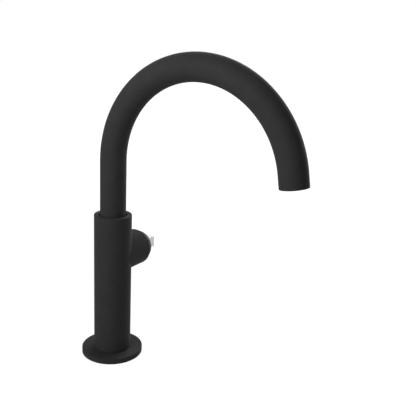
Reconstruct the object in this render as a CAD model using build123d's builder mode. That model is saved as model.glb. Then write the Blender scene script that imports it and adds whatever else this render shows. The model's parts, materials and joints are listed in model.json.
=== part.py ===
from build123d import *
from math import asin, cos, degrees, radians, sin, tan
import os

os.makedirs("parts", exist_ok=True)

# Single-hole washbasin mixer: a slim column on a round flange, a swivelling gooseneck spout
# and a valve housing on the column's side. Millimetres.
# Origin at the centre of the flange underside, on the deck. +Z is up, the spout reaches
# towards -Y and the valve housing points along +X.

# Clearances
running_gap = 0.05       # radial, between a shaft or ring and the bore it turns in
seat_gap = 0.05          # radial, between fixed pieces that slide together
end_play = 0.1           # axial, at faces that turn on each other
ceramic_gap = 0.02       # water film between the two lapped discs
cut_margin = 1.0         # how far a cut starts outside the surface it opens

# Flange and deck gasket
flange_radius = 27.0
flange_height = 4.6
flange_edge_round = 0.5
flange_web = 1.6         # metal left over the insert's collar, which lies flush with the deck
gasket_inner_radius = 20.5
gasket_width = 4.0
gasket_thickness = 1.8

# Column
column_radius = 16.25
column_wall = 2.75
column_edge_round = 0.5
column_foot_round = 0.7  # leaves a shadow line where the column stands on the flange
axis_height = 91.4       # deck to the valve axis
column_above_axis = 38.1
guide_depth = 11.5       # length of the narrow bore that guides the spout
spout_slit = 1.05        # open ring between the spout and the column top

# Spout
spout_radius = 11.1
spout_wall = 1.5
riser_length = 47.2      # column top to the start of the bend
bend_radius = 81.75
bend_angle = 170.0
outlet_straight = 10.5
outlet_edge_round = 0.3

# Spout swivel
swivel_limit = 60.0      # degrees each way
nipple_radius = 8.0
nipple_bore = 5.5
socket_depth = 9.5
nipple_collar_length = 5.9
nipple_spigot_length = 8.0
nipple_spigot_bore = 7.0
thrust_washer_thickness = 1.0
nipple_groove_depth = 1.5
nipple_ring_places = (0.25, 0.65)   # shares of the barrel's length
slide_ring_length = 2.6
slide_ring_drop = 2.3    # column top down to the slide ring
screw_radius = 2.0
screw_tip_radius = 1.1
screw_tip_reach = 1.8    # how far the tip enters the collar groove
screw_recess = 0.4
screw_hex_across = 2.0
screw_hex_depth = 1.6

# Aerator
aerator_recess = 0.5
aerator_length = 7.4
aerator_wall = 1.2
aerator_lip = 0.8
aerator_lip_height = 1.0
aerator_gasket_thickness = 1.1
aerator_insert_gap = 0.1
screen_thickness = 0.6
screen_hole_radius = 0.55
screen_hole_pitch = 1.7
screen_hole_rows = 7
insert_hole_radius = 1.2
insert_hole_circle = 5.0
insert_hole_count = 8

# Base insert, its ports and the inlet tubes
insert_collar_radius = 18.0
insert_height = 15.4     # above the flange
port_x = 2.5
port_spacing = 12.0
port_thread_radius = 3.46
port_thread_depth = 10.0
stud_x = -8.2
stud_thread_radius = 3.32
stud_thread_depth = 14.0
tube_radius = 4.0
tube_wall = 1.0
tube_socket_depth = 6.0
o_ring_section = 0.75
tube_ring_section = 0.6

# Waterway core and its lock ring
core_gap = 0.2           # radial, core to the column bore
core_below_axis = 23.3
inlet_bore = 2.4
riser_bore = 3.0
riser_x = -5.0
lock_ring_length = 5.0
lock_ring_width = 2.6
lock_ring_relief = 0.9   # radial, round the inlet tubes
lock_notch_width = 3.0
lock_notch_depth = 1.6

# Cartridge
seat_x = 6.5             # column axis to the cartridge seat
cartridge_radius = 12.5
cartridge_gap = 0.3
cartridge_base_thickness = 4.0
cartridge_wall = 1.9
cartridge_front = 2.3
fixed_disc_thickness = 2.5
moving_disc_thickness = 2.8
moving_disc_radius = 9.2
disc_recess_radius = 5.2
disc_recess_depth = 1.2
disc_recess_drop = 1.0
carrier_thickness = 2.8
inlet_port_radius = 1.6
inlet_port_y = 3.3
inlet_port_z = 4.9
outlet_port_radius = 2.4
outlet_port_z = -4.0
seal_section = 0.5
seal_margin = 0.6        # port edge to the seal
turret_play = 0.3
turret_flange_thickness = 2.5
turret_neck_radius = 7.9
turret_neck_length = 8.1
mixing_limit = 50.0      # degrees each way
stop_tooth_angle = 20.0
stop_tooth_height = 1.9
stop_ring_length = 1.8
stop_ring_width = 2.0
stop_ring_slack = 0.5    # degrees between tooth and stop at the limit
nut_length = 3.0
nut_slot_width = 2.4
nut_slot_depth = 1.6

# Stem, its pin and the handle adapter
flow_limit = 22.0        # degrees of lift
pivot_from_front = 0.0   # casing front face to the pin
pin_radius = 1.25
pin_inset = 0.3          # pin ends inside the turret neck
ball_radius = 2.0
ball_arm = 6.1           # pin to the ball's centre
ball_neck_radius = 1.6
stem_width = 7.0
stem_slot_gap = 0.15
stem_square_start = 3.5  # pin back to the start of the square
adapter_width = 9.8
adapter_start = 19.8     # pin out to the adapter
adapter_length = 10.7
adapter_end_wall = 2.5
adapter_hole_radius = 2.25
adapter_edge_round = 0.4
handle_thread_radius = 1.65
handle_thread_depth = 8.0

# Valve housing and bonnet
housing_wall = 2.65
thread_step = 0.7        # cartridge pocket out to the threaded bore
bonnet_spigot_length = 2.4
bonnet_spigot_step = 1.0
bonnet_spigot_wall = 1.45
bonnet_straight = 3.1    # seam to the start of the cone
bonnet_cone_length = 6.7
bonnet_cone_drop = 3.3   # radial, over the cone's length
bonnet_edge_round = 1.0  # at both ends of the cone
bonnet_hole_radius = 11.0
bonnet_lip = 1.6         # straight length of the stem hole's edge
bonnet_ring_section = 0.45

# Worked-out sizes: column
column_top = axis_height + column_above_axis
column_bore = column_radius - column_wall
guide_bore = spout_radius + spout_slit
guide_floor = column_top - guide_depth
spout_bore = spout_radius - spout_wall
collar_top_z = flange_height - flange_web
insert_radius = column_bore - seat_gap
insert_top = flange_height + insert_height

# Worked-out sizes: spout
collar_bottom = guide_floor + thrust_washer_thickness + end_play
tube_start = collar_bottom + nipple_collar_length
bend_z = column_top + riser_length
bend_end_y = bend_radius * (cos(radians(bend_angle)) - 1)
bend_end_z = bend_z + bend_radius * sin(radians(bend_angle))
flow_y = -sin(radians(bend_angle))
flow_z = cos(radians(bend_angle))
outlet_y = bend_end_y + outlet_straight * flow_y
outlet_z = bend_end_z + outlet_straight * flow_z
outlet_plane = Plane(origin=(0, outlet_y, outlet_z), x_dir=(1, 0, 0), z_dir=(0, -flow_y, -flow_z))
screw_z = collar_bottom + nipple_collar_length / 2
screw_tip_y = spout_radius - screw_tip_reach

# Worked-out sizes: positions along the valve axis
fixed_disc_x = seat_x + cartridge_base_thickness
moving_disc_x = fixed_disc_x + fixed_disc_thickness + ceramic_gap
carrier_x = moving_disc_x + moving_disc_thickness
turret_x = carrier_x + carrier_thickness + turret_play
turret_flange_end = turret_x + turret_flange_thickness
casing_front_x = turret_flange_end + turret_play
nut_x = casing_front_x + cartridge_front
counterbore_x = nut_x + nut_length
seam_x = counterbore_x + bonnet_spigot_length + end_play
turret_end_x = turret_flange_end + turret_neck_length
pivot_x = nut_x + pivot_from_front
ball_x = pivot_x - ball_arm
adapter_x = pivot_x + adapter_start
adapter_end_x = adapter_x + adapter_length
stem_end_x = adapter_end_x - adapter_end_wall
cone_x = seam_x + bonnet_straight
bonnet_end_x = cone_x + bonnet_cone_length

# Worked-out sizes: radii about the valve axis
pocket_radius = cartridge_radius + cartridge_gap
housing_bore = pocket_radius + thread_step
housing_radius = housing_bore + housing_wall
casing_bore = cartridge_radius - cartridge_wall
fixed_disc_radius = casing_bore - seat_gap * 2
turret_flange_radius = casing_bore - turret_play
turret_hole = turret_neck_radius + running_gap * 2
stop_ring_inner = turret_neck_radius + turret_play
stop_ring_outer = stop_ring_inner + stop_ring_width
nut_bore = stop_ring_outer + seat_gap * 2
counterbore_radius = housing_bore + bonnet_spigot_step
spigot_radius = counterbore_radius - seat_gap
disc_travel = ball_arm * sin(radians(flow_limit))
disc_rest_drop = disc_travel / 2

# Worked-out sizes: core
core_radius = column_bore - core_gap
core_bottom = axis_height - core_below_axis
socket_floor = guide_floor - socket_depth
tube_bottom = insert_top - tube_socket_depth
tube_top = core_bottom + tube_socket_depth
tube_bore = tube_radius - tube_wall

valve_axis = Axis((0, 0, axis_height), (1, 0, 0))
port_places = [(port_x, side * port_spacing / 2) for side in (-1, 1)]
seat_ports = [
    (inlet_port_y, inlet_port_z, inlet_port_radius),
    (-inlet_port_y, inlet_port_z, inlet_port_radius),
    (0, outlet_port_z, outlet_port_radius),
]


def valve_plane(x):
    """Plane square to the valve axis at x; its local x runs along +Y and its local y along +Z."""
    return Plane(origin=(x, 0, axis_height), x_dir=(0, 1, 0), z_dir=(1, 0, 0))


def turned_z(*points):
    """Revolve a closed outline of (radius, z) points about the column axis."""
    with BuildPart(mode=Mode.PRIVATE) as turned:
        with BuildSketch(Plane.XZ):
            with BuildLine():
                Polyline(*points, close=True)
            make_face()
        revolve(axis=Axis.Z)
    return turned.part


def finish(builder, name):
    """Label a finished piece and write its file."""
    builder.part.label = name
    export_step(builder.part, "parts/" + name + ".step")


# Column with the valve housing grown out of its side
with BuildPart() as body_shell:
    with BuildSketch(Plane.XY.offset(flange_height)):
        Circle(column_radius)
    extrude(amount=column_top - flange_height)
    fillet(body_shell.edges().group_by(Axis.Z)[-1], column_edge_round)
    fillet(body_shell.edges().group_by(Axis.Z)[0], column_foot_round)
    with BuildSketch(valve_plane(0)):
        Circle(housing_radius)
    extrude(amount=seam_x)
    with BuildSketch(Plane.XY.offset(flange_height)):
        Circle(column_bore)
    extrude(amount=guide_floor - flange_height, mode=Mode.SUBTRACT)
    with BuildSketch(Plane.XY.offset(guide_floor)):
        Circle(guide_bore)
    extrude(amount=guide_depth, mode=Mode.SUBTRACT)
    with BuildSketch(valve_plane(seat_x)):
        Circle(pocket_radius)
    extrude(amount=nut_x - seat_x, mode=Mode.SUBTRACT)
    with BuildSketch(valve_plane(nut_x)):
        Circle(housing_bore)
    extrude(amount=nut_length, mode=Mode.SUBTRACT)
    with BuildSketch(valve_plane(counterbore_x)):
        Circle(counterbore_radius)
    extrude(amount=seam_x - counterbore_x, mode=Mode.SUBTRACT)
    # Rear hole for the screw that keeps the spout in
    with BuildSketch(Plane.XZ.offset(-column_radius - cut_margin)) as screw_hole:
        with Locations((0, screw_z)):
            Circle(screw_radius + seat_gap)
    extrude(amount=column_radius + cut_margin - spout_radius, mode=Mode.SUBTRACT)
finish(body_shell, "body_shell")

# Round base flange, hollowed below for the insert's collar and the gasket
with BuildPart() as base_flange:
    with BuildSketch():
        Circle(flange_radius)
    extrude(amount=flange_height)
    fillet(base_flange.edges().group_by(Axis.Z)[-1], flange_edge_round)
    with BuildSketch():
        Circle(insert_collar_radius + seat_gap * 2)
    extrude(amount=collar_top_z, mode=Mode.SUBTRACT)
    with BuildSketch():
        Circle(column_bore)
    extrude(amount=flange_height, mode=Mode.SUBTRACT)
    with BuildSketch():
        Circle(gasket_inner_radius + gasket_width)
        Circle(gasket_inner_radius, mode=Mode.SUBTRACT)
    extrude(amount=gasket_thickness, mode=Mode.SUBTRACT)
finish(base_flange, "base_flange")

# Rubber ring in the flange underside, flush with the deck when bolted down
with BuildPart() as deck_gasket:
    with BuildSketch():
        Circle(gasket_inner_radius + gasket_width - seat_gap)
        Circle(gasket_inner_radius + seat_gap, mode=Mode.SUBTRACT)
    extrude(amount=gasket_thickness)
finish(deck_gasket, "deck_gasket")

# Brass insert that closes the column's foot, holds the flange and takes hoses and stud
base_ring_z = flange_height + insert_height / 2
base_groove_radius = insert_radius - 2 * o_ring_section
with BuildPart() as base_insert:
    add(turned_z(
        (0, 0),
        (insert_collar_radius, 0),
        (insert_collar_radius, collar_top_z),
        (insert_radius, collar_top_z),
        (insert_radius, base_ring_z - o_ring_section - seat_gap),
        (base_groove_radius, base_ring_z - o_ring_section - seat_gap),
        (base_groove_radius, base_ring_z + o_ring_section + seat_gap),
        (insert_radius, base_ring_z + o_ring_section + seat_gap),
        (insert_radius, insert_top),
        (0, insert_top),
    ))
    with BuildSketch():
        with Locations(*port_places):
            Circle(port_thread_radius)
    extrude(amount=port_thread_depth, mode=Mode.SUBTRACT)
    with BuildSketch():
        with Locations(*port_places):
            Circle(inlet_bore)
    extrude(amount=insert_top, mode=Mode.SUBTRACT)
    with BuildSketch(Plane.XY.offset(tube_bottom)):
        with Locations(*port_places):
            Circle(tube_radius + seat_gap)
    extrude(amount=tube_socket_depth, mode=Mode.SUBTRACT)
    with BuildSketch(Plane.XY.offset(insert_top - 2 * tube_ring_section)):
        with Locations(*port_places):
            Circle(tube_radius + 2 * tube_ring_section + seat_gap)
    extrude(amount=2 * tube_ring_section, mode=Mode.SUBTRACT)
    with BuildSketch():
        with Locations((stud_x, 0)):
            Circle(stud_thread_radius)
    extrude(amount=stud_thread_depth, mode=Mode.SUBTRACT)
finish(base_insert, "base_insert")

with BuildPart() as base_o_ring:
    with Locations((0, 0, base_ring_z)):
        Torus(base_groove_radius + o_ring_section, o_ring_section)
finish(base_o_ring, "base_o_ring")

# Inner tubes that carry hot and cold water up to the core
for tube_name, place in zip(("hot_inlet_tube", "cold_inlet_tube"), port_places):
    with BuildPart() as inlet_tube:
        with BuildSketch(Plane.XY.offset(tube_bottom)):
            with Locations(place):
                Circle(tube_radius)
                Circle(tube_bore, mode=Mode.SUBTRACT)
        extrude(amount=tube_top - tube_bottom)
    finish(inlet_tube, tube_name)

# Sealing rings round both ends of both tubes
with BuildPart() as tube_o_rings:
    for ring_z in (insert_top - tube_ring_section, core_bottom + tube_ring_section):
        with Locations(*[(x, y, ring_z) for x, y in port_places]):
            Torus(tube_radius + tube_ring_section, tube_ring_section)
finish(tube_o_rings, "tube_o_rings")

# Brass core: cartridge seat, inlet passages and the socket that the spout turns in
with BuildPart() as waterway_core:
    with BuildSketch(Plane.XY.offset(core_bottom)):
        Circle(core_radius)
    extrude(amount=guide_floor - core_bottom)
    with BuildSketch(valve_plane(seat_x)):
        Circle(pocket_radius)
    extrude(amount=core_radius, mode=Mode.SUBTRACT)
    with BuildSketch(Plane.XY.offset(socket_floor)):
        Circle(nipple_radius + running_gap)
    extrude(amount=socket_depth, mode=Mode.SUBTRACT)
    with BuildSketch(Plane.XY.offset(core_bottom)):
        with Locations(*port_places):
            Circle(tube_radius + seat_gap)
    extrude(amount=tube_socket_depth, mode=Mode.SUBTRACT)
    with BuildSketch(Plane.XY.offset(core_bottom)):
        with Locations(*port_places):
            Circle(tube_radius + 2 * tube_ring_section + seat_gap)
    extrude(amount=2 * tube_ring_section, mode=Mode.SUBTRACT)
    with BuildSketch(Plane.XY.offset(core_bottom)):
        with Locations(*port_places):
            Circle(inlet_bore)
    extrude(amount=core_below_axis + inlet_port_z + inlet_port_radius, mode=Mode.SUBTRACT)
    with BuildSketch(valve_plane(port_x)):
        with Locations((inlet_port_y, inlet_port_z), (-inlet_port_y, inlet_port_z)):
            Circle(inlet_port_radius)
    extrude(amount=seat_x - port_x, mode=Mode.SUBTRACT)
    with BuildSketch(valve_plane(riser_x)):
        with Locations((0, outlet_port_z)):
            Circle(outlet_port_radius)
    extrude(amount=seat_x - riser_x, mode=Mode.SUBTRACT)
    with BuildSketch(Plane.XY.offset(axis_height + outlet_port_z - outlet_port_radius)):
        with Locations((riser_x, 0)):
            Circle(riser_bore)
    extrude(until=Until.LAST, mode=Mode.SUBTRACT)
finish(waterway_core, "waterway_core")

# Threaded ring that locks the core up against the shoulder below the guide bore
with BuildPart() as core_lock_ring:
    with BuildSketch(Plane.XY.offset(core_bottom - lock_ring_length)):
        Circle(insert_radius)
        Circle(insert_radius - lock_ring_width, mode=Mode.SUBTRACT)
        with Locations(*port_places):
            Circle(tube_radius + lock_ring_relief, mode=Mode.SUBTRACT)
    extrude(amount=lock_ring_length)
    with BuildSketch(Plane.XY.offset(core_bottom - lock_ring_length)):
        Rectangle(2 * column_radius, lock_notch_width)
    extrude(amount=lock_notch_depth, mode=Mode.SUBTRACT)
finish(core_lock_ring, "core_lock_ring")

# Spout tube: riser, bend and a short straight outlet
with BuildPart() as spout_tube:
    with BuildLine(Plane.YZ) as spout_path:
        Line((0, tube_start), (0, bend_z))
        CenterArc((-bend_radius, bend_z), bend_radius, 0, bend_angle)
        Line((bend_end_y, bend_end_z), (outlet_y, outlet_z))
    with BuildSketch(Plane.XY.offset(tube_start)):
        Circle(spout_radius)
        Circle(spout_bore, mode=Mode.SUBTRACT)
    sweep(path=spout_path.wires()[0])
    outlet_face = spout_tube.faces().sort_by_distance((0, outlet_y, outlet_z))[0]
    fillet(outlet_face.edges().sort_by(SortBy.LENGTH)[-1], outlet_edge_round)
finish(spout_tube, "spout_tube")

# Swivel nipple: barrel with two ring grooves, collar with the stop groove, spigot in the tube
nipple_ring_section = nipple_groove_depth / 2
nipple_bottom = socket_floor + end_play
barrel_length = collar_bottom - nipple_bottom
ring_heights = [nipple_bottom + barrel_length * share for share in nipple_ring_places]
stop_half_angle = swivel_limit + degrees(asin((screw_tip_radius + running_gap) / screw_tip_y))
groove_reach = 4 * spout_radius
groove_side = groove_reach * sin(radians(stop_half_angle))
groove_back = groove_reach * cos(radians(stop_half_angle))
with BuildPart() as swivel_nipple:
    with BuildSketch(Plane.XY.offset(nipple_bottom)):
        Circle(nipple_radius)
    extrude(amount=barrel_length)
    with BuildSketch(Plane.XY.offset(collar_bottom)):
        Circle(spout_radius)
    extrude(amount=nipple_collar_length)
    with BuildSketch(Plane.XY.offset(tube_start)):
        Circle(spout_bore - seat_gap)
    extrude(amount=nipple_spigot_length)
    with BuildSketch(Plane.XY.offset(nipple_bottom)):
        Circle(nipple_bore)
    extrude(amount=barrel_length, mode=Mode.SUBTRACT)
    with BuildSketch(Plane.XY.offset(collar_bottom)):
        Circle(nipple_spigot_bore)
    extrude(amount=nipple_collar_length + nipple_spigot_length, mode=Mode.SUBTRACT)
    for ring_z in ring_heights:
        with BuildSketch(Plane.XY.offset(ring_z - nipple_ring_section - seat_gap)):
            Circle(nipple_radius + cut_margin)
            Circle(nipple_radius - nipple_groove_depth, mode=Mode.SUBTRACT)
        extrude(amount=2 * (nipple_ring_section + seat_gap), mode=Mode.SUBTRACT)
    # Groove sector, open to the rear, whose ends stop the screw tip
    with BuildSketch(Plane.XY.offset(screw_z - screw_tip_radius - end_play)):
        Circle(spout_radius + cut_margin)
        Circle(screw_tip_y - end_play, mode=Mode.SUBTRACT)
        with BuildLine():
            Polyline((0, 0), (groove_side, groove_back), (-groove_side, groove_back), close=True)
        make_face(mode=Mode.INTERSECT)
    extrude(amount=2 * (screw_tip_radius + end_play), mode=Mode.SUBTRACT)
finish(swivel_nipple, "swivel_nipple")

with BuildPart() as nipple_o_rings:
    with Locations(*[(0, 0, ring_z) for ring_z in ring_heights]):
        Torus(nipple_radius - nipple_ring_section, nipple_ring_section)
finish(nipple_o_rings, "nipple_o_rings")

# Plastic washer that the spout's collar turns on
with BuildPart() as thrust_washer:
    with BuildSketch(Plane.XY.offset(guide_floor)):
        Circle(guide_bore - seat_gap * 2)
        Circle(nipple_radius + turret_play, mode=Mode.SUBTRACT)
    extrude(amount=thrust_washer_thickness)
finish(thrust_washer, "thrust_washer")

# Plastic ring that guides the spout just below the column top
with BuildPart() as slide_ring:
    with BuildSketch(Plane.XY.offset(column_top - slide_ring_drop - slide_ring_length)):
        Circle(guide_bore - seat_gap)
        Circle(spout_radius + running_gap, mode=Mode.SUBTRACT)
    extrude(amount=slide_ring_length)
finish(slide_ring, "slide_ring")

# Grub screw from the rear, its plain tip in the collar's groove
with BuildPart() as spout_grub_screw:
    with BuildSketch(Plane.XZ.offset(-guide_bore)):
        with Locations((0, screw_z)):
            Circle(screw_radius)
    extrude(amount=-(column_radius - screw_recess - guide_bore))
    with BuildSketch(Plane.XZ.offset(-screw_tip_y)):
        with Locations((0, screw_z)):
            Circle(screw_tip_radius)
    extrude(amount=-(guide_bore - screw_tip_y))
    with BuildSketch(Plane.XZ.offset(-(column_radius - screw_recess))):
        with Locations((0, screw_z)):
            RegularPolygon(screw_hex_across / 2, 6, major_radius=False)
    extrude(amount=screw_hex_depth, mode=Mode.SUBTRACT)
finish(spout_grub_screw, "spout_grub_screw")

# Aerator pieces, drawn upwards from the outlet end along the tube
housing_outer = spout_bore - seat_gap
housing_inner = housing_outer - aerator_wall
screen_z = aerator_recess + aerator_lip_height
insert_z = screen_z + screen_thickness
aerator_top = aerator_recess + aerator_length

with BuildPart() as aerator_housing:
    with BuildSketch(outlet_plane.offset(aerator_recess)):
        Circle(housing_outer)
        Circle(housing_inner - aerator_lip, mode=Mode.SUBTRACT)
    extrude(amount=aerator_lip_height)
    with BuildSketch(outlet_plane.offset(screen_z)):
        Circle(housing_outer)
        Circle(housing_inner, mode=Mode.SUBTRACT)
    extrude(amount=aerator_top - screen_z)
finish(aerator_housing, "aerator_housing")

with BuildPart() as aerator_screen:
    with BuildSketch(outlet_plane.offset(screen_z)):
        Circle(housing_inner - aerator_insert_gap)
        with HexLocations(screen_hole_pitch / 2, screen_hole_rows, screen_hole_rows):
            Circle(screen_hole_radius, mode=Mode.SUBTRACT)
    extrude(amount=screen_thickness)
finish(aerator_screen, "aerator_screen")

with BuildPart() as aerator_insert:
    with BuildSketch(outlet_plane.offset(insert_z)):
        Circle(housing_inner - aerator_insert_gap)
        with PolarLocations(insert_hole_circle, insert_hole_count):
            Circle(insert_hole_radius, mode=Mode.SUBTRACT)
        Circle(insert_hole_radius, mode=Mode.SUBTRACT)
    extrude(amount=aerator_top - insert_z)
finish(aerator_insert, "aerator_insert")

with BuildPart() as aerator_gasket:
    with BuildSketch(outlet_plane.offset(aerator_top)):
        Circle(housing_outer - aerator_insert_gap)
        Circle(housing_inner - aerator_lip, mode=Mode.SUBTRACT)
    extrude(amount=aerator_gasket_thickness)
finish(aerator_gasket, "aerator_gasket")

# Cartridge base with its three ports and a seal groove round each
with BuildPart() as cartridge_base:
    with BuildSketch(valve_plane(seat_x)):
        Circle(cartridge_radius)
        for port_y, port_z, port_radius in seat_ports:
            with Locations((port_y, port_z)):
                Circle(port_radius, mode=Mode.SUBTRACT)
    extrude(amount=cartridge_base_thickness)
    for port_y, port_z, port_radius in seat_ports:
        with BuildSketch(valve_plane(seat_x)):
            with Locations((port_y, port_z)):
                Circle(port_radius + seal_margin + 2 * seal_section + seat_gap)
                Circle(port_radius + seal_margin - seat_gap, mode=Mode.SUBTRACT)
        extrude(amount=2 * seal_section, mode=Mode.SUBTRACT)
finish(cartridge_base, "cartridge_base")

with BuildPart() as cartridge_seals:
    for port_y, port_z, port_radius in seat_ports:
        with Locations(valve_plane(seat_x + seal_section) * Location((port_y, port_z, 0))):
            Torus(port_radius + seal_margin + seal_section, seal_section)
finish(cartridge_seals, "cartridge_seals")

# Ceramic discs: the fixed one has three ports, the moving one a blind recess that joins them
with BuildPart() as fixed_disc:
    with BuildSketch(valve_plane(fixed_disc_x)):
        Circle(fixed_disc_radius)
        for port_y, port_z, port_radius in seat_ports:
            with Locations((port_y, port_z)):
                Circle(port_radius, mode=Mode.SUBTRACT)
    extrude(amount=fixed_disc_thickness)
finish(fixed_disc, "fixed_disc")

with BuildPart() as moving_disc:
    with BuildSketch(valve_plane(moving_disc_x)):
        with Locations((0, -disc_rest_drop)):
            Circle(moving_disc_radius)
    extrude(amount=moving_disc_thickness)
    with BuildSketch(valve_plane(moving_disc_x)):
        with Locations((0, -disc_rest_drop - disc_recess_drop)):
            Circle(disc_recess_radius)
    extrude(amount=disc_recess_depth, mode=Mode.SUBTRACT)
finish(moving_disc, "moving_disc")

# Carrier that the stem's ball end pushes, fixed to the moving disc
with BuildPart() as disc_carrier:
    with BuildSketch(valve_plane(carrier_x)):
        with Locations((0, -disc_rest_drop)):
            Circle(moving_disc_radius)
        Circle(ball_radius + running_gap * 2, mode=Mode.SUBTRACT)
    extrude(amount=carrier_thickness)
finish(disc_carrier, "disc_carrier")

# Cartridge casing: a cup over the discs, with the hole that the turret turns in
with BuildPart() as cartridge_casing:
    with BuildSketch(valve_plane(fixed_disc_x)):
        Circle(cartridge_radius)
        Circle(casing_bore, mode=Mode.SUBTRACT)
    extrude(amount=casing_front_x - fixed_disc_x)
    with BuildSketch(valve_plane(casing_front_x)):
        Circle(cartridge_radius)
        Circle(turret_hole, mode=Mode.SUBTRACT)
    extrude(amount=cartridge_front)
finish(cartridge_casing, "cartridge_casing")

# Turret: turns with the handle, slotted for the stem, with a tooth that meets the stop ring
slot_low = (turret_end_x - pivot_x) * tan(radians(flow_limit)) + stem_width / 2 / cos(radians(flow_limit))
slot_high = stem_square_start * sin(radians(flow_limit)) + stem_width / 2
slot_width = stem_width + 2 * stem_slot_gap
tooth_reach = turret_neck_radius + stop_tooth_height
tooth_width = 2 * tooth_reach * sin(radians(stop_tooth_angle / 2))
with BuildPart() as turret:
    with BuildSketch(valve_plane(turret_x)):
        Circle(turret_flange_radius)
    extrude(amount=turret_flange_thickness)
    with BuildSketch(valve_plane(turret_flange_end)):
        Circle(turret_neck_radius)
    extrude(amount=turret_neck_length)
    with BuildSketch(valve_plane(nut_x + end_play)):
        with Locations((tooth_reach / 2, 0)):
            Rectangle(tooth_reach, tooth_width)
        Circle(tooth_reach, mode=Mode.INTERSECT)
    extrude(amount=stop_ring_length - 2 * end_play)
    with BuildSketch(valve_plane(turret_x)):
        with Locations((0, (slot_high - slot_low) / 2)):
            Rectangle(slot_width, slot_high + slot_low + 2 * stem_slot_gap)
    extrude(amount=turret_end_x - turret_x, mode=Mode.SUBTRACT)
    with BuildSketch(Plane.XZ):
        with Locations((pivot_x, axis_height)):
            Circle(pin_radius + ceramic_gap)
    extrude(amount=turret_neck_radius, both=True, mode=Mode.SUBTRACT)
finish(turret, "turret")

with BuildPart() as stem_pin:
    with BuildSketch(Plane.XZ):
        with Locations((pivot_x, axis_height)):
            Circle(pin_radius)
    extrude(amount=turret_neck_radius - pin_inset, both=True)
finish(stem_pin, "stem_pin")

# Stem: ball end in the carrier, square arm through the turret, threaded end for the handle
with BuildPart() as stem:
    with BuildSketch(valve_plane(pivot_x - stem_square_start)):
        Rectangle(stem_width, stem_width)
    extrude(amount=stem_end_x - pivot_x + stem_square_start)
    with BuildSketch(valve_plane(ball_x)):
        Circle(ball_neck_radius)
    extrude(amount=ball_arm - stem_square_start)
    with Locations((ball_x, 0, axis_height)):
        Sphere(ball_radius)
    with BuildSketch(Plane.XZ):
        with Locations((pivot_x, axis_height)):
            Circle(pin_radius + running_gap)
    extrude(amount=stem_width, both=True, mode=Mode.SUBTRACT)
    with BuildSketch(valve_plane(stem_end_x - handle_thread_depth)):
        Circle(handle_thread_radius)
    extrude(amount=handle_thread_depth, mode=Mode.SUBTRACT)
finish(stem, "stem")

# Square adapter on the stem's end, which a handle slides over
with BuildPart() as handle_adapter:
    with BuildSketch(valve_plane(adapter_x)):
        Rectangle(adapter_width, adapter_width)
    extrude(amount=adapter_length)
    fillet(handle_adapter.edges(), adapter_edge_round)
    with BuildSketch(valve_plane(adapter_x)):
        Rectangle(stem_width + 2 * seat_gap, stem_width + 2 * seat_gap)
    extrude(amount=adapter_length - adapter_end_wall, mode=Mode.SUBTRACT)
    with BuildSketch(valve_plane(adapter_x)):
        Circle(adapter_hole_radius)
    extrude(amount=adapter_length, mode=Mode.SUBTRACT)
finish(handle_adapter, "handle_adapter")

# Ring whose gap leaves the turret's tooth its turning range
ring_half_gap = mixing_limit + degrees(asin(tooth_width / 2 / stop_ring_inner)) + stop_ring_slack
ring_reach = 3 * stop_ring_outer
gap_points = [
    (ring_reach * cos(radians(angle)), ring_reach * sin(radians(angle)))
    for angle in (-ring_half_gap, -ring_half_gap / 3, ring_half_gap / 3, ring_half_gap)
]
with BuildPart() as stop_ring:
    with BuildSketch(valve_plane(nut_x)):
        Circle(stop_ring_outer)
        Circle(stop_ring_inner, mode=Mode.SUBTRACT)
        with BuildLine():
            Polyline((0, 0), *gap_points, close=True)
        make_face(mode=Mode.SUBTRACT)
    extrude(amount=stop_ring_length)
finish(stop_ring, "stop_ring")

# Threaded nut that clamps the cartridge, with spanner slots
with BuildPart() as cartridge_nut:
    with BuildSketch(valve_plane(nut_x)):
        Circle(housing_bore - seat_gap)
        Circle(nut_bore, mode=Mode.SUBTRACT)
    extrude(amount=nut_length)
    with BuildSketch(valve_plane(counterbore_x - nut_slot_depth)):
        Rectangle(2 * housing_radius, nut_slot_width)
        Rectangle(nut_slot_width, 2 * housing_radius)
    extrude(amount=nut_slot_depth, mode=Mode.SUBTRACT)
finish(cartridge_nut, "cartridge_nut")

# Bonnet: spigot in the housing, straight band, then a cone down to the face round the stem hole
spigot_start = seam_x - bonnet_spigot_length
spigot_bore = spigot_radius - bonnet_spigot_wall
bonnet_groove_radius = spigot_radius - 2 * bonnet_ring_section
bonnet_ring_x = seam_x - bonnet_spigot_length / 2
cone_start = (cone_x, axis_height + housing_radius)
cone_end = (bonnet_end_x, axis_height + housing_radius - bonnet_cone_drop)
with BuildPart() as bonnet_cap:
    with BuildSketch(Plane.XZ) as bonnet_outline:
        with BuildLine():
            Polyline(
                cone_start,
                cone_end,
                (bonnet_end_x, axis_height + bonnet_hole_radius),
                (bonnet_end_x - bonnet_lip, axis_height + bonnet_hole_radius),
                (cone_x, axis_height + spigot_bore),
                (spigot_start, axis_height + spigot_bore),
                (spigot_start, axis_height + spigot_radius),
                (bonnet_ring_x - bonnet_ring_section, axis_height + spigot_radius),
                (bonnet_ring_x - bonnet_ring_section, axis_height + bonnet_groove_radius),
                (bonnet_ring_x + bonnet_ring_section, axis_height + bonnet_groove_radius),
                (bonnet_ring_x + bonnet_ring_section, axis_height + spigot_radius),
                (seam_x, axis_height + spigot_radius),
                (seam_x, axis_height + housing_radius),
                close=True,
            )
        make_face()
        for cone_edge in (cone_start, cone_end):
            fillet(bonnet_outline.vertices().sort_by_distance((*cone_edge, 0))[0], bonnet_edge_round)
    revolve(axis=valve_axis)
finish(bonnet_cap, "bonnet_cap")

with BuildPart() as bonnet_o_ring:
    with Locations(valve_plane(bonnet_ring_x)):
        Torus(spigot_radius - bonnet_ring_section, bonnet_ring_section)
finish(bonnet_o_ring, "bonnet_o_ring")
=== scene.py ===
import json
from math import cos, radians, sin

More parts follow.
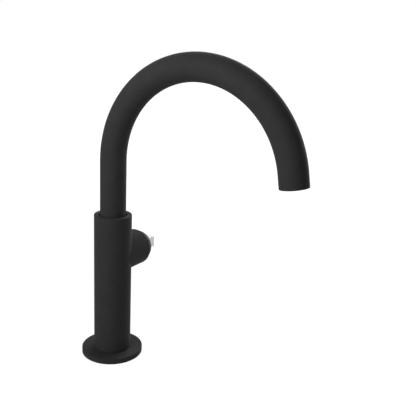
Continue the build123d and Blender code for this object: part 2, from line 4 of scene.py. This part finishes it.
import bpy
from mathutils import Matrix, Vector

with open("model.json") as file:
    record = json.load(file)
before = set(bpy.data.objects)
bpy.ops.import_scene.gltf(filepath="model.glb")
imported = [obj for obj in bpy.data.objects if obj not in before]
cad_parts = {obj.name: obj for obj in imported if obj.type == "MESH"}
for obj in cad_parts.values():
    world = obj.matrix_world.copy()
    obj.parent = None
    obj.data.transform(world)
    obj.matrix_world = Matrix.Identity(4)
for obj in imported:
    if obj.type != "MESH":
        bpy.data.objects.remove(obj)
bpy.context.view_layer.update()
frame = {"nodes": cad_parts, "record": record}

# The photograph's camera, in metres and degrees
CAMERA_PLACE = (-0.3849, -0.3211, 0.2805)
CAMERA_AZIMUTH = -59.5
CAMERA_DOWN = 15.93
CAMERA_ROLL = 2.93
CAMERA_LENS = 52.0        # millimetres, on a 36 mm sensor
SENSOR_WIDTH = 36.0
CAMERA_CLIP_START = 0.01

# Studio
FLOOR_SIZE = 6.0
FLOOR_DROP = 0.0002
FLOOR_WHITE = 0.5
FLOOR_SHADOW_SHARE = 0.12
FLOOR_SHADOW_REACH = (0.2, 0.6)   # metres from the object, over which the shadow share fades out
FLOOR_GLOW = 1.11         # makes up for the share that takes the shadow, so the floor reads 1
WORLD_GREY = 0.065
WHITE = 1.0
FLOOR_ROUGHNESS = 0.8
BODY_MIDDLE = (0, -0.07, 0.15)
BOW_MIDDLE = (0, -0.08, 0.25)
# Aim, degrees to the right of the camera, degrees up, metres away, side in metres, and watts
LAMPS = {
    "key_left": (BODY_MIDDLE, -60, -3, 1.4, 0.8, 6.0),
    "bow_front": (BOW_MIDDLE, -30, 0, 0.45, 0.4, 0.66),
    "bow_left": (BOW_MIDDLE, -50, 30, 0.3, 0.25, 0.62),
    "rim_right": (BODY_MIDDLE, 130, 12, 1.4, 0.8, 8.1),
    "behind": (BODY_MIDDLE, 160, 12, 1.4, 0.8, 8.6),
    "high_behind": (BODY_MIDDLE, 170, 35, 1.4, 0.8, 6.2),
}

# Surface grain: noise scale per metre, and bump depth in metres
NOISE_RANGE = (0.3, 0.7)          # most of the noise's values lie in it
PAINT_CLOUD_SCALE = 90
PAINT_GRAIN_SCALE = 2600
PAINT_GRAIN_DEPTH = 0.00004
TOOL_LINE_SCALE = 900
TOOL_LINE_DEPTH = 0.00003
MOULD_CLOUD_SCALE = 160
MOULD_GRAIN_SCALE = 1800
MOULD_GRAIN_DEPTH = 0.00004
CERAMIC_GRAIN_DEPTH = 0.00001
BUMP_STRENGTH = 0.2

# Noise scale factors that draw rings round the axis which a piece was turned about
TURNED_ABOUT_X = (12, 1, 1)
TURNED_ABOUT_Z = (1, 1, 12)


def node_of(tree, kind, **values):
    """A new shader node with its plain properties set."""
    node = tree.nodes.new("ShaderNode" + kind)
    for name, value in values.items():
        setattr(node, name, value)
    return node


def new_material(name):
    """An empty node material with a Principled shader joined to its output."""
    material = bpy.data.materials.new(name)
    material.use_nodes = True
    tree = material.node_tree
    tree.nodes.clear()
    shader = node_of(tree, "BsdfPrincipled")
    output = node_of(tree, "OutputMaterial")
    tree.links.new(shader.outputs["BSDF"], output.inputs["Surface"])
    return material, tree, shader


def noise(tree, scale, detail=2.0, stretch=(1, 1, 1)):
    """Noise over the object's own coordinates in metres; returns its grey output."""
    coords = node_of(tree, "TexCoord")
    mapping = node_of(tree, "Mapping")
    mapping.inputs["Scale"].default_value = stretch
    texture = node_of(tree, "TexNoise")
    texture.inputs["Scale"].default_value = scale
    texture.inputs["Detail"].default_value = detail
    tree.links.new(coords.outputs["Object"], mapping.inputs["Vector"])
    tree.links.new(mapping.outputs["Vector"], texture.inputs["Vector"])
    return texture.outputs["Fac"]


def spread(tree, value, low, high):
    """Maps a 0 to 1 value onto low to high."""
    ranged = node_of(tree, "MapRange")
    ranged.inputs["From Min"].default_value = NOISE_RANGE[0]
    ranged.inputs["From Max"].default_value = NOISE_RANGE[1]
    ranged.inputs["To Min"].default_value = low
    ranged.inputs["To Max"].default_value = high
    tree.links.new(value, ranged.inputs["Value"])
    return ranged.outputs["Result"]


def two_tone(tree, value, dark, light):
    """Colour that wanders between two tones."""
    mix = node_of(tree, "Mix", data_type="RGBA")
    mix.inputs["A"].default_value = (*dark, 1)
    mix.inputs["B"].default_value = (*light, 1)
    tree.links.new(spread(tree, value, 0, 1), mix.inputs["Factor"])
    return mix.outputs["Result"]


def grey(value):
    """An even grey."""
    return (value, value, value)


def bump(tree, value, depth):
    """A bump of that depth in metres."""
    node = node_of(tree, "Bump")
    node.inputs["Strength"].default_value = BUMP_STRENGTH
    node.inputs["Distance"].default_value = depth
    tree.links.new(value, node.inputs["Height"])
    return node.outputs["Normal"]


def powder_coat(name, dark, light, rough, specular):
    """Fine-textured matt paint."""
    material, tree, shader = new_material(name)
    cloud = noise(tree, PAINT_CLOUD_SCALE, 3)
    grain = noise(tree, PAINT_GRAIN_SCALE, 2)
    tree.links.new(two_tone(tree, cloud, dark, light), shader.inputs["Base Color"])
    tree.links.new(spread(tree, cloud, rough - 0.03, rough + 0.03), shader.inputs["Roughness"])
    tree.links.new(bump(tree, grain, PAINT_GRAIN_DEPTH), shader.inputs["Normal"])
    shader.inputs["Specular IOR Level"].default_value = specular
    return material


def turned_metal(name, dark, light, rough, stretch=TURNED_ABOUT_Z, metallic=1.0):
    """Machined metal with fine tool lines."""
    material, tree, shader = new_material(name)
    lines = noise(tree, TOOL_LINE_SCALE, 3, stretch)
    tree.links.new(two_tone(tree, lines, dark, light), shader.inputs["Base Color"])
    tree.links.new(spread(tree, lines, rough - 0.06, rough + 0.08), shader.inputs["Roughness"])
    tree.links.new(bump(tree, lines, TOOL_LINE_DEPTH), shader.inputs["Normal"])
    shader.inputs["Metallic"].default_value = metallic
    return material


def moulded(name, dark, light, rough, grain_depth=MOULD_GRAIN_DEPTH):
    """Moulded plastic, rubber or fired ceramic."""
    material, tree, shader = new_material(name)
    cloud = noise(tree, MOULD_CLOUD_SCALE, 2)
    grain = noise(tree, MOULD_GRAIN_SCALE, 2)
    tree.links.new(two_tone(tree, cloud, dark, light), shader.inputs["Base Color"])
    tree.links.new(spread(tree, grain, rough - 0.05, rough + 0.05), shader.inputs["Roughness"])
    tree.links.new(bump(tree, grain, grain_depth), shader.inputs["Normal"])
    return material


def make_materials():
    """One material for each of the record's material slots."""
    return {
        "matte_black": powder_coat(
            "matte_black", (0.0315, 0.0315, 0.032), (0.0365, 0.0365, 0.037), rough=0.7, specular=0.05),
        "black_steel": powder_coat(
            "black_steel", (0.03, 0.03, 0.031), (0.04, 0.04, 0.041), rough=0.4, specular=0.3),
        "rubber": moulded("rubber", grey(0.03), grey(0.05), 0.7),
        "brass": turned_metal("brass", (0.73, 0.54, 0.25), (0.82, 0.64, 0.33), 0.3),
        "copper": turned_metal("copper", (0.78, 0.43, 0.29), (0.86, 0.52, 0.36), 0.3),
        "steel": turned_metal("steel", grey(0.57), grey(0.66), 0.32, TURNED_ABOUT_X),
        "zinc_grey": turned_metal("zinc_grey", grey(0.7), grey(0.76), 0.6, TURNED_ABOUT_X, metallic=0.4),
        "ceramic": moulded("ceramic", (0.82, 0.81, 0.77), (0.88, 0.87, 0.83), 0.18, CERAMIC_GRAIN_DEPTH),
        "white_plastic": moulded("white_plastic", (0.72, 0.72, 0.7), (0.78, 0.78, 0.76), 0.42),
        "grey_plastic": moulded("grey_plastic", (0.32, 0.33, 0.35), (0.37, 0.38, 0.4), 0.45),
        "dark_plastic": moulded("dark_plastic", (0.035, 0.035, 0.036), (0.047, 0.047, 0.048), 0.42),
        "red_plastic": moulded("red_plastic", (0.5, 0.04, 0.03), (0.6, 0.055, 0.045), 0.4),
    }


def dress_nodes(materials):
    """Gives each carried-over CAD node the material of its slot."""
    for part in frame["record"]["subparts"]:
        piece = frame["nodes"][part["node"]]
        piece.data.materials.clear()
        piece.data.materials.append(materials[part["material_slot"]])


def seen_directly(tree):
    """1 for camera, glossy and transmission rays."""
    path = node_of(tree, "LightPath")
    glossy = node_of(tree, "Math", operation="MAXIMUM")
    either = node_of(tree, "Math", operation="MAXIMUM")
    tree.links.new(path.outputs["Is Glossy Ray"], glossy.inputs[0])
    tree.links.new(path.outputs["Is Transmission Ray"], glossy.inputs[1])
    tree.links.new(path.outputs["Is Camera Ray"], either.inputs[0])
    tree.links.new(glossy.outputs[0], either.inputs[1])
    return either.outputs[0]


def make_floor():
    """Pale floor that reads white to the camera and keeps a faint shadow."""
    half = FLOOR_SIZE / 2
    mesh = bpy.data.meshes.new("floor")
    square = ((-half, -half), (half, -half), (half, half), (-half, half))
    corners = [(x, y, -FLOOR_DROP) for x, y in square]
    mesh.from_pydata(corners, [], [(0, 1, 2, 3)])
    floor = bpy.data.objects.new("floor", mesh)
    bpy.context.collection.objects.link(floor)
    material, tree, shader = new_material("floor")
    shader.inputs["Base Color"].default_value = (*grey(FLOOR_WHITE), 1)
    shader.inputs["Roughness"].default_value = FLOOR_ROUGHNESS
    direct = seen_directly(tree)
    glow = node_of(tree, "Emission")
    glow.inputs["Strength"].default_value = FLOOR_GLOW
    place = node_of(tree, "TexCoord")
    away = node_of(tree, "VectorMath", operation="LENGTH")
    fade = node_of(tree, "MapRange", interpolation_type="SMOOTHSTEP")
    fade.inputs["From Min"].default_value = FLOOR_SHADOW_REACH[0]
    fade.inputs["From Max"].default_value = FLOOR_SHADOW_REACH[1]
    fade.inputs["To Min"].default_value = 1 - FLOOR_SHADOW_SHARE
    fade.inputs["To Max"].default_value = 1
    tree.links.new(place.outputs["Object"], away.inputs[0])
    tree.links.new(away.outputs["Value"], fade.inputs["Value"])
    share = node_of(tree, "Math", operation="MULTIPLY")
    mix = node_of(tree, "MixShader")
    output = next(node for node in tree.nodes if node.type == "OUTPUT_MATERIAL")
    tree.links.new(direct, share.inputs[0])
    tree.links.new(fade.outputs["Result"], share.inputs[1])
    tree.links.new(share.outputs[0], mix.inputs["Fac"])
    tree.links.new(shader.outputs["BSDF"], mix.inputs[1])
    tree.links.new(glow.outputs["Emission"], mix.inputs[2])
    tree.links.new(mix.outputs["Shader"], output.inputs["Surface"])
    mesh.materials.append(material)


def make_world():
    """Plain grey light, white where it is seen directly."""
    world = bpy.data.worlds.new("studio")
    bpy.context.scene.world = world
    world.use_nodes = True
    tree = world.node_tree
    tree.nodes.clear()
    lighting = node_of(tree, "Background")
    lighting.inputs["Color"].default_value = (*grey(WORLD_GREY), 1)
    backdrop = node_of(tree, "Background")
    backdrop.inputs["Color"].default_value = (*grey(WHITE), 1)
    mix = node_of(tree, "MixShader")
    output = node_of(tree, "OutputWorld")
    tree.links.new(seen_directly(tree), mix.inputs["Fac"])
    tree.links.new(lighting.outputs["Background"], mix.inputs[1])
    tree.links.new(backdrop.outputs["Background"], mix.inputs[2])
    tree.links.new(mix.outputs["Shader"], output.inputs["Surface"])


def make_lamps():
    """Soft square lamps round the object, which the camera doesn't see."""
    azimuth = radians(CAMERA_AZIMUTH)
    right = Vector((cos(azimuth), sin(azimuth), 0))
    back = Vector((sin(azimuth), -cos(azimuth), 0))
    up = Vector((0, 0, 1))
    for name, (aim, turn, rise, distance, side, power) in LAMPS.items():
        level = back * cos(radians(turn)) + right * sin(radians(turn))
        away = level * cos(radians(rise)) + up * sin(radians(rise))
        lamp = bpy.data.lights.new(name, "AREA")
        lamp.size = side
        lamp.energy = power
        piece = bpy.data.objects.new(name, lamp)
        bpy.context.collection.objects.link(piece)
        piece.location = Vector(aim) + away * distance
        piece.rotation_euler = away.to_track_quat("Z", "Y").to_euler()
        piece.visible_camera = False


def make_camera():
    """Camera at the photograph's place and angle."""
    data = bpy.data.cameras.new("camera")
    data.lens = CAMERA_LENS
    data.sensor_width = SENSOR_WIDTH
    data.clip_start = CAMERA_CLIP_START
    camera = bpy.data.objects.new("camera", data)
    bpy.context.collection.objects.link(camera)
    azimuth = radians(CAMERA_AZIMUTH)
    down = radians(CAMERA_DOWN)
    back = Vector((sin(azimuth) * cos(down), -cos(azimuth) * cos(down), sin(down)))
    turn = back.to_track_quat("Z", "Y").to_matrix() @ Matrix.Rotation(radians(CAMERA_ROLL), 3, "Z")
    camera.matrix_world = Matrix.Translation(CAMERA_PLACE) @ turn.to_4x4()
    bpy.context.scene.camera = camera


dress_nodes(make_materials())
make_floor()
make_world()
make_lamps()
make_camera()

bpy.context.scene.view_settings.view_transform = "Standard"
